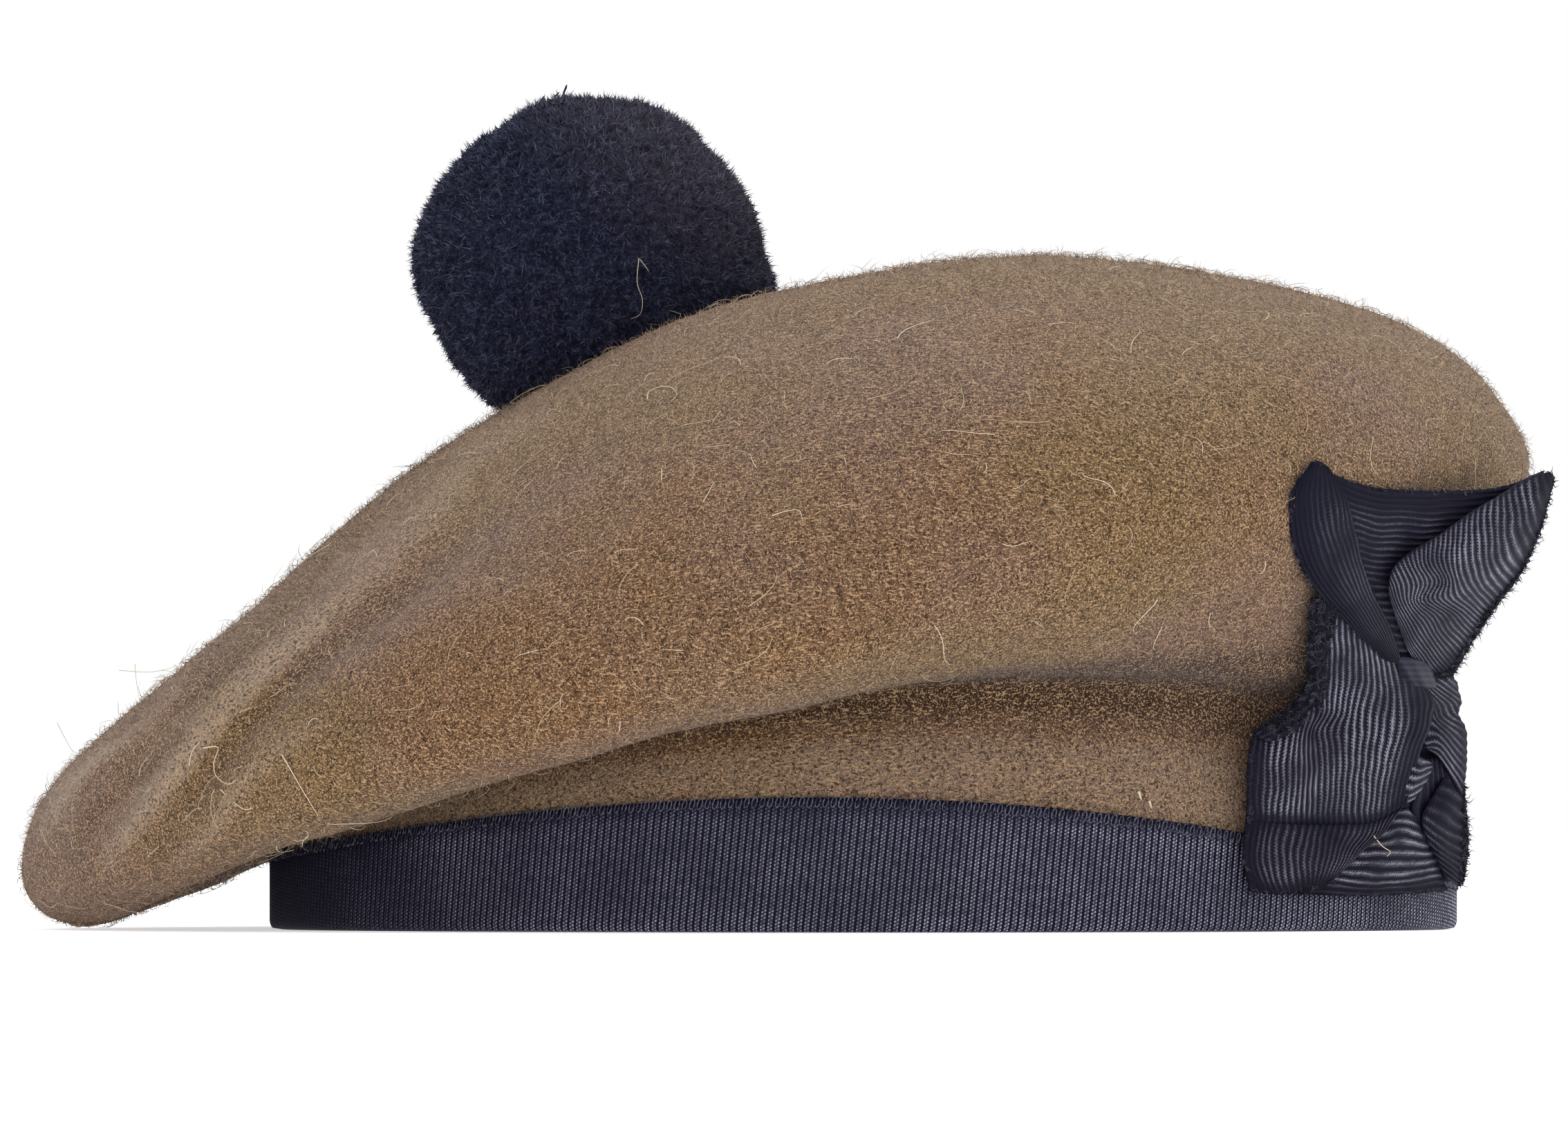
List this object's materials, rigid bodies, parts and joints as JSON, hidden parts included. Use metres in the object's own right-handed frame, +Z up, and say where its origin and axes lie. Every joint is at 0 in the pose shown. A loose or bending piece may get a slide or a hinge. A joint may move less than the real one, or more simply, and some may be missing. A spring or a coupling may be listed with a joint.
{
  "type": "balmoral bonnet",
  "caption": "Full felted wool bonnet with a drooping hollow crown, grosgrain headband, wool pompom on top and a flat ribbon bow at the side.",
  "frame": {"origin": "on the resting surface, under the middle of the bonnet's whole box", "axes": "+Z up, +X along the headband towards the bow's end, so the crown droops to -X; the viewer of the picture stands at -Y"},
  "size_m": [0.2578, 0.252, 0.1409],
  "materials": {
    "felt": "milled wool felt, khaki brown with light and reddish flecks, fuzzy",
    "headband_ribbon": "dark grosgrain ribbon, fine upright ribs, soft sheen",
    "bow_ribbon": "dark grosgrain ribbon, ribs catching the light, frayed cut edges",
    "pompom_wool": "cut wool pile, dark navy, matt"
  },
  "bodies": {
    "root": {"crown": "felt", "headband": "headband_ribbon", "pompom": "pompom_wool", "bow_upper": "bow_ribbon", "bow_lower": "bow_ribbon", "bow_knot": "bow_ribbon"}
  },
  "joints": []
}
